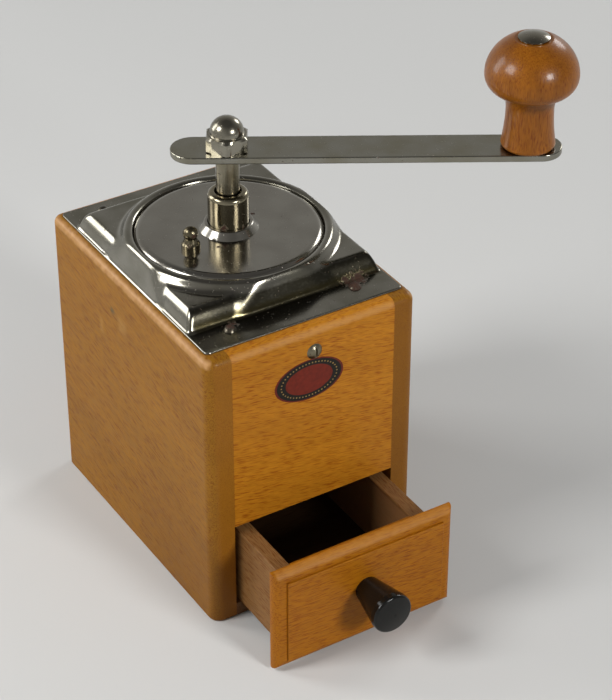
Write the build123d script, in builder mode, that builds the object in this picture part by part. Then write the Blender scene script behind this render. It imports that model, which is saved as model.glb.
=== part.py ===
"""Poppy seed mill: a beech box with a drawer, a pressed metal top with a round lid,
and a vertical crank shaft that turns a toothed cone inside a toothed ring.

Millimetres. The origin is under the middle of the box at table level. +Z is up,
+X is to the right and the drawer front faces -Y. The drawer stands open by
drawer_pull and the crank arm is turned by crank_angle, counted from +X.
"""
from build123d import *
from math import acos, asin, cos, degrees, radians, sin, sqrt, tan
import os

os.makedirs("parts", exist_ok=True)

# ---------------------------------------------------------------- wooden box
box_width = 100.0
box_depth = 137.0
box_height = 134.5
side_board_thickness = 11.0
end_panel_thickness = 20.0
base_thickness = 7.0
opening_headroom = 3.5
front_corner_radius = 5.0
back_corner_radius = 4.0
top_edge_radius = 3.5
base_edge_radius = 1.0

# ---------------------------------------------------------------- pressed top plate
sheet = 0.8
plate_side_inset = 3.0
plate_front_inset = 6.3
plate_back_inset = 3.6
plate_corner_radius = 2.0
plate_edge_radius = 0.5
side_flange = 1.2
front_flange = 15.8
back_flange = 13.4
platform_height = 9.0
platform_side_run = 2.0
platform_end_run = 3.8
platform_corner_radius = 3.0
platform_edge_radius = 2.2
bead_side_inset = 6.0
bead_width = 5.2
bead_flank_run = 2.2
bead_height = 4.0
bead_round = 1.4

# ---------------------------------------------------------------- lid and its knob
lid_gap = 0.5
lid_flat_height = 13.0
lid_rim_radius = 3.6
lid_seat_gap = 0.3
hub_foot_radius = 12.8
hub_height = 3.0
hub_land = 1.2
lid_bore_gap = 0.3
lid_knob_x = -22.0
lid_knob_y = -6.5
lid_knob_foot_radius = 3.9
lid_knob_foot_height = 3.0
lid_knob_foot_bevel = 0.7
lid_knob_waist_radius = 2.6
lid_knob_waist_height = 4.6
lid_knob_ball_radius = 3.2
lid_knob_height = 10.2
lid_rivet_radius = 1.4
lid_rivet_head_radius = 2.6
lid_rivet_head_height = 0.8

# ---------------------------------------------------------------- nails and screws
nail_head_radius = 2.9
nail_head_height = 1.9
nail_shank_radius = 1.2
nail_length = 15.0
nail_spacing = 60.0
front_nail_inset = 3.3
back_nail_inset = 9.0
frame_screw_depth_below_top = 11.0
frame_screw_head_radius = 3.6
frame_screw_head_height = 1.8
frame_screw_radius = 2.4
frame_screw_grip = 8.0
slot_width = 0.9
slot_depth = 0.9
hole_clearance = 0.05

# ---------------------------------------------------------------- hopper and mill casting
casting_gap = 0.6
bowl_inset = 1.4
bowl_lip = 1.4
hopper_depth = 22.5
notch_gap = 0.3
bar_width = 14.0
bar_height = 9.0
boss_radius = 10.5
rim_height = 3.5
rim_land = 3.0
leg_overlap = 1.8
throat_radius = 18.0
throat_lip = 2.0
hopper_cone_height = 12.0
burr_ring_radius = 23.5
burr_ring_height = 20.0
socket_wall = 4.0
ear_radius = 5.4
ear_height = 10.0

# ---------------------------------------------------------------- burrs
tooth_count = 24
tooth_depth = 1.2
tooth_steepness = 0.3
cone_foot_radius = 19.3
cone_top_radius = 12.0
cone_twist = 30.0
ring_twist = 20.0
ring_mouth_radius = 16.5
grinding_gap = 0.7
cone_lift = 1.0
cone_hub_radius = 8.6
cone_hub_height = 7.0
cone_pin_radius = 1.5
cone_pin_length = 16.0

# ---------------------------------------------------------------- bearing collar and shaft
shaft_radius = 5.0
collar_radius = 8.75
collar_top = 30.5
collar_round = 2.2
collar_mouth_radius = 5.85
collar_mouth_depth = 4.0
collar_spigot_radius = 7.0
running_clearance = 0.05
pivot_radius = 3.0
pivot_length = 6.0
pivot_gap = 0.3
stud_radius = 4.0
shaft_square = 8.0

# ---------------------------------------------------------------- lower bridge and adjuster
bridge_thickness = 6.5
bridge_width = 14.0
bridge_boss_radius = 11.0
bridge_boss_drop = 5.0
bolt_radius = 2.5
bolt_head_radius = 4.2
bolt_head_height = 3.2
bolt_grip = 7.0
adjuster_radius = 7.0
adjuster_length = 19.0
adjuster_sink = 0.5
wheel_radius = 13.0
wheel_height = 7.0
wheel_flutes = 12
wheel_flute_radius = 1.6
wheel_slot_width = 2.0
spring_thickness = 0.6
spring_width = 8.0
spring_gap = 0.3

# ---------------------------------------------------------------- crank
crank_angle = -30.8
arm_height = 48.0
arm_thickness = 3.0
arm_width = 18.6
arm_nose = 14.3
arm_tail = 23.6
arm_edge_radius = 0.5
knob_distance = 124.0
nut_flats = 17.0
nut_hex_height = 6.8
nut_chamfer_angle = 30.0
nut_rim_inset = 0.3
nut_neck_height = 1.2
nut_dome_radius = 6.2
stud_reach = 10.0
stud_end_gap = 1.0

# ---------------------------------------------------------------- crank knob and spindle
knob_foot_radius = 11.35
knob_foot_round = 1.6
knob_neck_radius = 9.95
knob_shoulder_radius = 12.2
knob_radius = 19.4
knob_crown_radius = 8.0
knob_height = 48.9
knob_crown_height = 15.9
knob_bulge_height = 7.6
knob_waist_height = 7.9
knob_widest_height = knob_height - knob_crown_height
knob_shoulder_height = knob_widest_height - knob_bulge_height
knob_neck_height = knob_shoulder_height - knob_waist_height
knob_gap = 0.3
knob_bore_clearance = 0.08
spindle_radius = 4.0
spindle_head_radius = 6.6
spindle_head_height = 1.9
spindle_head_edge = 0.4
spindle_tail_radius = 3.0
spindle_rivet_radius = 4.6
spindle_rivet_height = 1.2

# ---------------------------------------------------------------- drawer
drawer_pull = 36.4
drawer_lift = 0.3
drawer_side_gap = 2.2
drawer_back_gap = 4.0
drawer_wheel_gap = 6.5
drawer_side_thickness = 7.0
drawer_back_thickness = 7.0
drawer_edge_radius = 0.6
drawer_bottom_thickness = 3.2
drawer_groove_height = 2.4
drawer_groove_depth = 3.0
drawer_front_depth = 8.0
lip_side_overlap = 7.2
lip_top_overlap = 3.5
lip_bottom = 1.4
lip_thickness = 4.2
lip_round = 3.6
field_side_margin = 5.7
field_bottom_margin = 3.9
field_top_margin = 5.4
field_thickness = 1.0
field_edge_radius = 0.35
pull_rise = 1.5
pull_neck_radius = 5.6
pull_rim_radius = 9.1
pull_length = 21.0
pull_face_dome = 1.0
pull_rim_height = 4.0
pull_rim_round = 1.2
pull_screw_radius = 2.0
pull_screw_grip = 14.0
pull_screw_head_radius = 4.0
pull_screw_head_height = 2.2

# ---------------------------------------------------------------- derived places
front_face = -box_depth / 2
back_face = box_depth / 2
inner_half_width = box_width / 2 - side_board_thickness
cavity_front = front_face + end_panel_thickness
cavity_back = back_face - end_panel_thickness
frame_screw_height = box_height - frame_screw_depth_below_top

# The mill hangs from the top of the box, and the drawer gets the room that is left.
rim_top = box_height - hopper_depth
throat_top = rim_top - hopper_cone_height
shoulder_height = throat_top - throat_lip
ring_bottom = shoulder_height - burr_ring_height
adjuster_top = ring_bottom - adjuster_sink
wheel_top = adjuster_top - adjuster_length
wheel_bottom = wheel_top - wheel_height
drawer_bottom_height = base_thickness + drawer_lift
drawer_side_height = wheel_bottom - drawer_wheel_gap - drawer_bottom_height
opening_top = drawer_bottom_height + drawer_side_height + opening_headroom


def round_cap(radius, foot, rise):
    """A round head's outline: an arc from its rim at (radius, foot) up to the axis."""
    sphere_radius = (radius**2 + rise**2) / (2 * rise)
    rim_angle = degrees(asin((sphere_radius - rise) / sphere_radius))
    CenterArc((0, foot + rise - sphere_radius), sphere_radius, rim_angle, 90 - rim_angle)


def toothed_outline(tip_radius, turn):
    """A ring of saw teeth: each rises steeply to its tip and falls slowly behind it."""
    pitch = 360 / tooth_count
    outline = []
    for tooth in range(tooth_count):
        tip_angle = radians(turn + tooth * pitch)
        root_angle = radians(turn + (tooth + tooth_steepness) * pitch)
        root_radius = tip_radius - tooth_depth
        outline.append((tip_radius * cos(tip_angle), tip_radius * sin(tip_angle)))
        outline.append((root_radius * cos(root_angle), root_radius * sin(root_angle)))
    Polygon(*outline, align=None)


# ================================================================ wooden box
# The box is glued up first and its outer edges are rounded as one, so each
# board is cut from the same rounded form.
with BuildPart() as box_form:
    with BuildSketch():
        Rectangle(box_width, box_depth)
    extrude(amount=box_height)
    front_uprights = box_form.edges().filter_by(Axis.Z).group_by(Axis.Y)[0]
    fillet(front_uprights, radius=front_corner_radius)
    back_uprights = box_form.edges().filter_by(Axis.Z).group_by(Axis.Y)[-1]
    fillet(back_uprights, radius=back_corner_radius)
    top_round = min(top_edge_radius, 0.9 * back_corner_radius, 0.9 * front_corner_radius)
    fillet(box_form.faces().sort_by(Axis.Z)[-1].edges(), radius=top_round)
    fillet(box_form.faces().sort_by(Axis.Z)[0].edges(), radius=base_edge_radius)

with BuildPart() as left_side_board:
    with BuildSketch():
        with Locations((-(box_width - side_board_thickness) / 2, 0)):
            Rectangle(side_board_thickness, box_depth)
    extrude(amount=box_height)
    add(box_form.part, mode=Mode.INTERSECT)
left_side_board.part.label = "left_side_board"
export_step(left_side_board.part, "parts/left_side_board.step")

with BuildPart() as right_side_board:
    with BuildSketch():
        with Locations(((box_width - side_board_thickness) / 2, 0)):
            Rectangle(side_board_thickness, box_depth)
    extrude(amount=box_height)
    add(box_form.part, mode=Mode.INTERSECT)
right_side_board.part.label = "right_side_board"
export_step(right_side_board.part, "parts/right_side_board.step")

nail_rows = (cavity_front - front_nail_inset, cavity_back + back_nail_inset)
nail_places = [(x, y) for y in nail_rows for x in (-nail_spacing / 2, nail_spacing / 2)]
nail_hole_radius = nail_shank_radius + hole_clearance
nail_depth_in_wood = nail_length - sheet

with BuildPart() as front_panel:
    with BuildSketch(Plane.XY.offset(opening_top)):
        with Locations((0, front_face + end_panel_thickness / 2)):
            Rectangle(2 * inner_half_width, end_panel_thickness)
    extrude(amount=box_height - opening_top)
    add(box_form.part, mode=Mode.INTERSECT)
    with Locations(Plane(origin=(0, front_face, frame_screw_height), z_dir=(0, -1, 0))):
        Hole(radius=frame_screw_radius + hole_clearance, depth=end_panel_thickness)
    with Locations(*[(x, y, box_height) for x, y in nail_places if y < 0]):
        Hole(radius=nail_hole_radius, depth=nail_depth_in_wood)
front_panel.part.label = "front_panel"
export_step(front_panel.part, "parts/front_panel.step")

with BuildPart() as back_panel:
    with BuildSketch():
        with Locations((0, back_face - end_panel_thickness / 2)):
            Rectangle(2 * inner_half_width, end_panel_thickness)
    extrude(amount=box_height)
    add(box_form.part, mode=Mode.INTERSECT)
    with Locations(Plane(origin=(0, back_face, frame_screw_height), z_dir=(0, 1, 0))):
        Hole(radius=frame_screw_radius + hole_clearance, depth=end_panel_thickness)
    with Locations(*[(x, y, box_height) for x, y in nail_places if y > 0]):
        Hole(radius=nail_hole_radius, depth=nail_depth_in_wood)
back_panel.part.label = "back_panel"
export_step(back_panel.part, "parts/back_panel.step")

with BuildPart() as base_board:
    with BuildSketch():
        with Locations((0, (front_face + cavity_back) / 2)):
            Rectangle(2 * inner_half_width, cavity_back - front_face)
    extrude(amount=base_thickness)
    add(box_form.part, mode=Mode.INTERSECT)
base_board.part.label = "base_board"
export_step(base_board.part, "parts/base_board.step")

# ================================================================ pressed top plate
# One sheet: a flange on the box, a raised square platform with sloping walls,
# and a hollow round bead that stands up around the lid.
plate_half_width = box_width / 2 - plate_side_inset
plate_front = front_face + plate_front_inset
plate_back = back_face - plate_back_inset
platform_half_width = plate_half_width - side_flange
platform_front = plate_front + front_flange
platform_back = plate_back - back_flange
platform_middle = (platform_front + platform_back) / 2
platform_depth = platform_back - platform_front
platform_top = box_height + platform_height
bead_inner_radius = plate_half_width - bead_side_inset
bead_outer_radius = bead_inner_radius + bead_width
bead_top = platform_top + bead_height
rim_radius = inner_half_width - casting_gap
bowl_radius = rim_radius - bowl_inset
plate_hole_radius = bowl_radius - sheet

with BuildPart() as plate_hollow:
    hollow_foot = box_height - sheet
    hollow_top = platform_top - sheet
    with BuildSketch(Plane.XY.offset(hollow_foot)):
        with Locations((0, platform_middle)):
            RectangleRounded(
                2 * (platform_half_width - sheet),
                platform_depth - 2 * sheet,
                platform_corner_radius,
            )
    with BuildSketch(Plane.XY.offset(hollow_top)):
        with Locations((0, platform_middle)):
            RectangleRounded(
                2 * (platform_half_width - platform_side_run - sheet),
                platform_depth - 2 * (platform_end_run + sheet),
                platform_corner_radius,
            )
    loft()
    fillet(plate_hollow.faces().sort_by(Axis.Z)[-1].edges(), radius=platform_edge_radius - sheet)
    with BuildSketch(Plane.XZ):
        with BuildLine():
            Polyline(
                (bead_inner_radius + sheet, hollow_foot),
                (bead_outer_radius - sheet, hollow_foot),
                (bead_outer_radius - sheet, hollow_top),
                (bead_outer_radius - bead_flank_run - sheet, bead_top - sheet),
                (bead_inner_radius + sheet, bead_top - sheet),
                close=True,
            )
        make_face()
    revolve(axis=Axis.Z)
    hollow_crown = plate_hollow.edges().filter_by(GeomType.CIRCLE).group_by(Axis.Z)[-1]
    fillet(hollow_crown, radius=max(bead_round - sheet, 0.3 * bead_round))

with BuildPart() as top_plate:
    with BuildSketch(Plane.XY.offset(box_height)):
        with Locations((0, (plate_front + plate_back) / 2)):
            RectangleRounded(2 * plate_half_width, plate_back - plate_front, plate_corner_radius)
    extrude(amount=sheet)
    fillet(top_plate.faces().sort_by(Axis.Z)[-1].edges(), radius=plate_edge_radius)
    with BuildSketch(Plane.XY.offset(box_height)):
        with Locations((0, platform_middle)):
            RectangleRounded(2 * platform_half_width, platform_depth, platform_corner_radius)
    with BuildSketch(Plane.XY.offset(platform_top)):
        with Locations((0, platform_middle)):
            RectangleRounded(
                2 * (platform_half_width - platform_side_run),
                platform_depth - 2 * platform_end_run,
                platform_corner_radius,
            )
    loft()
    fillet(top_plate.faces().sort_by(Axis.Z)[-1].edges(), radius=platform_edge_radius)
    with BuildSketch(Plane.XZ):
        with BuildLine():
            Polyline(
                (bead_inner_radius, box_height),
                (bead_outer_radius, box_height),
                (bead_outer_radius, platform_top),
                (bead_outer_radius - bead_flank_run, bead_top),
                (bead_inner_radius, bead_top),
                close=True,
            )
        make_face()
    revolve(axis=Axis.Z)
    bead_crown = top_plate.edges().filter_by(GeomType.CIRCLE).group_by(Axis.Z)[-1]
    fillet(bead_crown, radius=bead_round)
    add(plate_hollow.part, mode=Mode.SUBTRACT)
    with Locations((0, 0, bead_top)):
        Hole(radius=plate_hole_radius, depth=bead_top - box_height + sheet)
    with Locations(*[(x, y, box_height + sheet) for x, y in nail_places]):
        Hole(radius=nail_hole_radius, depth=sheet)
top_plate.part.label = "top_plate"
export_step(top_plate.part, "parts/top_plate.step")

# ================================================================ nails and frame screws
with BuildPart() as nail_form:
    with BuildSketch(Plane.XZ):
        with BuildLine():
            Line((0, -nail_length), (nail_shank_radius, -nail_length + nail_shank_radius))
            Line((nail_shank_radius, -nail_length + nail_shank_radius), (nail_shank_radius, 0))
            Line((nail_shank_radius, 0), (nail_head_radius, 0))
            round_cap(nail_head_radius, 0, nail_head_height)
            Line((0, nail_head_height), (0, -nail_length))
        make_face()
    revolve(axis=Axis.Z)

with BuildPart() as plate_nails:
    with Locations(*[(x, y, box_height + sheet) for x, y in nail_places]):
        add(nail_form.part)
plate_nails.part.label = "plate_nails"
export_step(plate_nails.part, "parts/plate_nails.step")

with BuildPart() as frame_screw_form:
    screw_length = end_panel_thickness + frame_screw_grip
    with BuildSketch(Plane.XZ):
        with BuildLine():
            Polyline(
                (0, -screw_length),
                (frame_screw_radius, -screw_length),
                (frame_screw_radius, 0),
                (frame_screw_head_radius, 0),
            )
            round_cap(frame_screw_head_radius, 0, frame_screw_head_height)
            Line((0, frame_screw_head_height), (0, -screw_length))
        make_face()
    revolve(axis=Axis.Z)
    with BuildSketch(Plane.XY.offset(frame_screw_head_height)):
        Rectangle(2 * frame_screw_head_radius, slot_width)
    extrude(amount=-slot_depth, mode=Mode.SUBTRACT)

front_screw_plane = Plane(origin=(0, front_face, frame_screw_height), z_dir=(0, -1, 0))
back_screw_plane = Plane(origin=(0, back_face, frame_screw_height), z_dir=(0, 1, 0))
with BuildPart() as frame_screws:
    with Locations(front_screw_plane, back_screw_plane):
        add(frame_screw_form.part)
frame_screws.part.label = "frame_screws"
export_step(frame_screws.part, "parts/frame_screws.step")

# ================================================================ hopper bowl
# A rolled sheet skirt with a lip under the plate's hole. Two notches let it
# stand over the casting's cross bar.
rim_bottom = rim_top - rim_height
bar_bottom = frame_screw_height - bar_height / 2
bar_top = frame_screw_height + bar_height / 2
bowl_top = platform_top - sheet

with BuildPart() as hopper_bowl:
    with BuildSketch(Plane.XZ):
        with BuildLine():
            Polyline(
                (bowl_radius - sheet, rim_top),
                (bowl_radius, rim_top),
                (bowl_radius, bowl_top - sheet),
                (bowl_radius + bowl_lip, bowl_top - sheet),
                (bowl_radius + bowl_lip, bowl_top),
                (bowl_radius - sheet, bowl_top),
                close=True,
            )
        make_face()
    revolve(axis=Axis.Z)
    with BuildSketch(Plane.XY.offset(rim_top)):
        Rectangle(bar_width + 2 * notch_gap, 2 * bowl_radius + sheet)
    extrude(amount=bar_top + notch_gap - rim_top, mode=Mode.SUBTRACT)
hopper_bowl.part.label = "hopper_bowl"
export_step(hopper_bowl.part, "parts/hopper_bowl.step")

# ================================================================ mill casting
# One iron casting: the hopper's cone, the socket of the toothed ring, two ears
# for the bridge bolts, and a cross bar on legs that carries the shaft's collar.
socket_radius = burr_ring_radius + hole_clearance
socket_outer_radius = burr_ring_radius + socket_wall
leg_length = cavity_back - rim_radius + leg_overlap
ear_reach = rim_radius - ear_radius
ear_places = [(-ear_reach, 0), (ear_reach, 0)]

with BuildPart() as mill_casting:
    with BuildSketch(Plane.XZ):
        with BuildLine():
            Polyline(
                (socket_radius, ring_bottom),
                (socket_outer_radius, ring_bottom),
                (socket_outer_radius, shoulder_height),
                (rim_radius, rim_bottom),
                (rim_radius, rim_top),
                (rim_radius - rim_land, rim_top),
                (throat_radius, throat_top),
                (throat_radius, shoulder_height),
                (socket_radius, shoulder_height),
                close=True,
            )
        make_face()
    revolve(axis=Axis.Z)
    with BuildSketch(Plane.XY.offset(bar_bottom)):
        Rectangle(bar_width, cavity_back - cavity_front)
    extrude(amount=bar_height)
    with BuildSketch(Plane.XY.offset(bar_bottom)):
        Circle(boss_radius)
    extrude(amount=bar_height)
    with BuildSketch(Plane.XY.offset(rim_bottom)):
        with Locations((0, cavity_front + leg_length / 2), (0, cavity_back - leg_length / 2)):
            Rectangle(bar_width, leg_length)
    extrude(amount=bar_bottom - rim_bottom)
    with BuildSketch(Plane.XY.offset(ring_bottom)):
        with Locations(*ear_places):
            Circle(ear_radius)
        with Locations((-(ear_reach + socket_outer_radius - rim_land) / 2, 0)):
            Rectangle(ear_reach - socket_outer_radius + rim_land, 2 * ear_radius)
        with Locations(((ear_reach + socket_outer_radius - rim_land) / 2, 0)):
            Rectangle(ear_reach - socket_outer_radius + rim_land, 2 * ear_radius)
    extrude(amount=ear_height)
    with Locations((0, 0, bar_top)):
        Hole(radius=collar_spigot_radius + hole_clearance, depth=bar_height)
    with Locations(Plane(origin=(0, cavity_front, frame_screw_height), z_dir=(0, -1, 0))):
        Hole(radius=frame_screw_radius + hole_clearance, depth=frame_screw_grip + pivot_gap)
    with Locations(Plane(origin=(0, cavity_back, frame_screw_height), z_dir=(0, 1, 0))):
        Hole(radius=frame_screw_radius + hole_clearance, depth=frame_screw_grip + pivot_gap)
    for ear_x, ear_y in ear_places:
        with Locations(Plane(origin=(ear_x, ear_y, ring_bottom), z_dir=(0, 0, -1))):
            Hole(radius=bolt_radius + hole_clearance, depth=bolt_grip + pivot_gap)
mill_casting.part.label = "mill_casting"
export_step(mill_casting.part, "parts/mill_casting.step")

# ================================================================ bearing collar
collar_top_height = box_height + collar_top
collar_bore_radius = shaft_radius + running_clearance
mouth_floor = collar_top_height - collar_mouth_depth

with BuildPart() as bearing_collar:
    with BuildSketch(Plane.XZ) as collar_section:
        with BuildLine():
            Polyline(
                (collar_bore_radius, bar_bottom),
                (collar_spigot_radius, bar_bottom),
                (collar_spigot_radius, bar_top),
                (collar_radius, bar_top),
                (collar_radius, collar_top_height),
                (collar_mouth_radius, collar_top_height),
                (collar_mouth_radius, mouth_floor),
                (collar_bore_radius, mouth_floor),
                close=True,
            )
        make_face()
        outer_corner = collar_section.vertices().sort_by_distance((collar_radius, collar_top_height))[0]
        fillet(outer_corner, radius=min(collar_round, 0.9 * (collar_radius - collar_mouth_radius)))
    revolve(axis=Axis.Z)
bearing_collar.part.label = "bearing_collar"
export_step(bearing_collar.part, "parts/bearing_collar.step")

# ================================================================ burrs
# The ring's teeth point inwards and lean one way, the cone's teeth lean the
# other way, and the gap between them closes from the mouth to the foot.
cone_bottom = ring_bottom + cone_lift
cone_top = shoulder_height
pin_height = cone_top + cone_hub_height / 2

with BuildPart() as burr_ring:
    with BuildSketch(Plane.XY.offset(ring_bottom)):
        Circle(burr_ring_radius)
    extrude(amount=burr_ring_height)
    with BuildSketch(Plane.XY.offset(ring_bottom)):
        toothed_outline(cone_foot_radius + grinding_gap + tooth_depth, 0)
    with BuildSketch(Plane.XY.offset(shoulder_height)):
        toothed_outline(ring_mouth_radius + tooth_depth, -ring_twist)
    loft(ruled=True, mode=Mode.SUBTRACT)
burr_ring.part.label = "burr_ring"
export_step(burr_ring.part, "parts/burr_ring.step")

with BuildPart() as grinding_cone:
    with BuildSketch(Plane.XY.offset(cone_bottom)):
        toothed_outline(cone_foot_radius, 0)
    with BuildSketch(Plane.XY.offset(cone_top)):
        toothed_outline(cone_top_radius, cone_twist)
    loft(ruled=True)
    with BuildSketch(Plane.XY.offset(cone_top)):
        Circle(cone_hub_radius)
    extrude(amount=cone_hub_height)
    with Locations((0, 0, cone_top + cone_hub_height)):
        Hole(radius=shaft_radius + hole_clearance, depth=cone_top + cone_hub_height - cone_bottom)
    with Locations(Plane(origin=(0, -cone_hub_radius, pin_height), z_dir=(0, -1, 0))):
        Hole(radius=cone_pin_radius + hole_clearance, depth=2 * cone_hub_radius)
grinding_cone.part.label = "grinding_cone"
export_step(grinding_cone.part, "parts/grinding_cone.step")

with BuildPart() as cone_pin:
    with BuildSketch(Plane(origin=(0, -cone_pin_length / 2, pin_height), z_dir=(0, 1, 0))):
        Circle(cone_pin_radius)
    extrude(amount=cone_pin_length)
cone_pin.part.label = "cone_pin"
export_step(cone_pin.part, "parts/cone_pin.step")

# ================================================================ lower bridge and adjuster
# The bridge holds the ring up in its socket. The adjusting screw stands in the
# bridge and carries the shaft's pivot, so turning it sets how fine the mill grinds.
bridge_bottom = ring_bottom - bridge_thickness
boss_bottom = bridge_bottom - bridge_boss_drop
shaft_shoulder = adjuster_top + pivot_gap
pivot_bottom = shaft_shoulder - pivot_length

with BuildPart() as lower_bridge:
    with BuildSketch(Plane.XY.offset(bridge_bottom)):
        SlotOverall(2 * (ear_reach + ear_radius), bridge_width)
    extrude(amount=bridge_thickness)
    with BuildSketch(Plane.XY.offset(boss_bottom)):
        Circle(bridge_boss_radius)
    extrude(amount=bridge_boss_drop)
    with Locations((0, 0, ring_bottom)):
        Hole(radius=adjuster_radius + running_clearance, depth=ring_bottom - boss_bottom)
    with Locations(*[(x, y, ring_bottom) for x, y in ear_places]):
        Hole(radius=bolt_radius + hole_clearance, depth=bridge_thickness)
lower_bridge.part.label = "lower_bridge"
export_step(lower_bridge.part, "parts/lower_bridge.step")

with BuildPart() as bolt_form:
    with BuildSketch(Plane.XY.offset(-bolt_head_height)):
        Circle(bolt_head_radius)
    extrude(amount=bolt_head_height)
    with BuildSketch():
        Circle(bolt_radius)
    extrude(amount=bridge_thickness + bolt_grip)
    with BuildSketch(Plane.XY.offset(-bolt_head_height)):
        Rectangle(2 * bolt_head_radius, slot_width)
    extrude(amount=slot_depth, mode=Mode.SUBTRACT)

left_bolt_seat = bridge_bottom - spring_thickness
with BuildPart() as bridge_bolts:
    with Locations((-ear_reach, 0, left_bolt_seat), (ear_reach, 0, bridge_bottom)):
        add(bolt_form.part)
bridge_bolts.part.label = "bridge_bolts"
export_step(bridge_bolts.part, "parts/bridge_bolts.step")

with BuildPart() as click_spring:
    leaf_face = wheel_radius + spring_gap
    strip_end = ear_reach + ear_radius
    with BuildSketch(Plane.XZ.offset(-spring_width / 2)):
        with BuildLine():
            Polyline(
                (-strip_end, bridge_bottom),
                (-leaf_face, bridge_bottom),
                (-leaf_face, wheel_bottom + spring_thickness),
                (-leaf_face - spring_thickness, wheel_bottom + spring_thickness),
                (-leaf_face - spring_thickness, bridge_bottom - spring_thickness),
                (-strip_end, bridge_bottom - spring_thickness),
                close=True,
            )
        make_face()
    extrude(amount=spring_width)
    with Locations((-ear_reach, 0, bridge_bottom)):
        Hole(radius=bolt_radius + hole_clearance, depth=spring_thickness)
click_spring.part.label = "click_spring"
export_step(click_spring.part, "parts/click_spring.step")

with BuildPart() as adjusting_screw:
    with BuildSketch(Plane.XY.offset(wheel_bottom)):
        Circle(wheel_radius)
        with PolarLocations(wheel_radius, wheel_flutes, start_angle=180 / wheel_flutes):
            Circle(wheel_flute_radius, mode=Mode.SUBTRACT)
    extrude(amount=wheel_height)
    with BuildSketch(Plane.XY.offset(wheel_top)):
        Circle(adjuster_radius)
    extrude(amount=adjuster_length)
    with Locations((0, 0, adjuster_top)):
        Hole(radius=pivot_radius + running_clearance, depth=adjuster_top - pivot_bottom + pivot_gap)
    with BuildSketch(Plane.XY.offset(wheel_bottom)):
        Rectangle(2 * adjuster_radius, wheel_slot_width)
    extrude(amount=wheel_slot_width, mode=Mode.SUBTRACT)
adjusting_screw.part.label = "adjusting_screw"
export_step(adjusting_screw.part, "parts/adjusting_screw.step")

# ================================================================ crank shaft
arm_bottom = box_height + arm_height
arm_top = arm_bottom + arm_thickness
crank_direction = (cos(radians(crank_angle)), sin(radians(crank_angle)), 0)
arm_plane = Plane(origin=(0, 0, arm_bottom), x_dir=crank_direction, z_dir=(0, 0, 1))

with BuildPart() as crank_shaft:
    with BuildSketch(Plane.XZ):
        with BuildLine():
            Polyline(
                (0, pivot_bottom),
                (pivot_radius, pivot_bottom),
                (pivot_radius, shaft_shoulder),
                (shaft_radius, shaft_shoulder),
                (shaft_radius, arm_bottom),
                (0, arm_bottom),
                close=True,
            )
        make_face()
    revolve(axis=Axis.Z)
    with BuildSketch(arm_plane):
        Circle(shaft_radius)
        Rectangle(shaft_square, shaft_square, mode=Mode.INTERSECT)
    extrude(amount=arm_thickness)
    with BuildSketch(Plane.XY.offset(arm_top)):
        Circle(stud_radius)
    extrude(amount=stud_reach)
    with Locations(Plane(origin=(0, -shaft_radius, pin_height), z_dir=(0, -1, 0))):
        Hole(radius=cone_pin_radius + hole_clearance, depth=2 * shaft_radius)
crank_shaft.part.label = "crank_shaft"
export_step(crank_shaft.part, "parts/crank_shaft.step")

# ================================================================ crank arm and cap nut
arm_reach = knob_distance + arm_nose

with BuildPart() as crank_arm:
    with BuildSketch(arm_plane):
        with Locations(((arm_reach - arm_tail) / 2, 0)):
            SlotOverall(arm_reach + arm_tail, arm_width)
    extrude(amount=arm_thickness)
    fillet(crank_arm.faces().sort_by(Axis.Z)[-1].edges(), radius=arm_edge_radius)
    fillet(crank_arm.faces().sort_by(Axis.Z)[0].edges(), radius=arm_edge_radius)
    with BuildSketch(arm_plane):
        Circle(shaft_radius + hole_clearance)
        square_hole = shaft_square + 2 * hole_clearance
        Rectangle(square_hole, square_hole, mode=Mode.INTERSECT)
        with Locations((knob_distance, 0)):
            Circle(spindle_tail_radius + hole_clearance)
    extrude(amount=arm_thickness, mode=Mode.SUBTRACT)
crank_arm.part.label = "crank_arm"
export_step(crank_arm.part, "parts/crank_arm.step")

with BuildPart() as cap_nut:
    hex_top = arm_top + nut_hex_height
    nut_corner_radius = nut_flats / sqrt(3)
    chamfer_drop = (nut_corner_radius - nut_flats / 2 + nut_rim_inset) * tan(radians(nut_chamfer_angle))
    with BuildSketch(Plane.XY.offset(arm_top)):
        RegularPolygon(nut_flats / 2, 6, major_radius=False)
    extrude(amount=nut_hex_height)
    with BuildSketch(Plane.XZ):
        with BuildLine():
            Polyline(
                (0, arm_top),
                (nut_flats / 2 - nut_rim_inset, arm_top),
                (nut_corner_radius, arm_top + chamfer_drop),
                (nut_corner_radius, hex_top - chamfer_drop),
                (nut_flats / 2 - nut_rim_inset, hex_top),
                (0, hex_top),
                close=True,
            )
        make_face()
    revolve(axis=Axis.Z, mode=Mode.INTERSECT)
    with BuildSketch(Plane.XZ):
        with BuildLine():
            Polyline(
                (0, hex_top),
                (nut_dome_radius, hex_top),
                (nut_dome_radius, hex_top + nut_neck_height),
            )
            round_cap(nut_dome_radius, hex_top + nut_neck_height, nut_dome_radius)
            Line((0, hex_top + nut_neck_height + nut_dome_radius), (0, hex_top))
        make_face()
    revolve(axis=Axis.Z)
    with Locations(Plane(origin=(0, 0, arm_top), z_dir=(0, 0, -1))):
        Hole(radius=stud_radius + hole_clearance, depth=stud_reach + stud_end_gap)
cap_nut.part.label = "cap_nut"
export_step(cap_nut.part, "parts/cap_nut.step")

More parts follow.
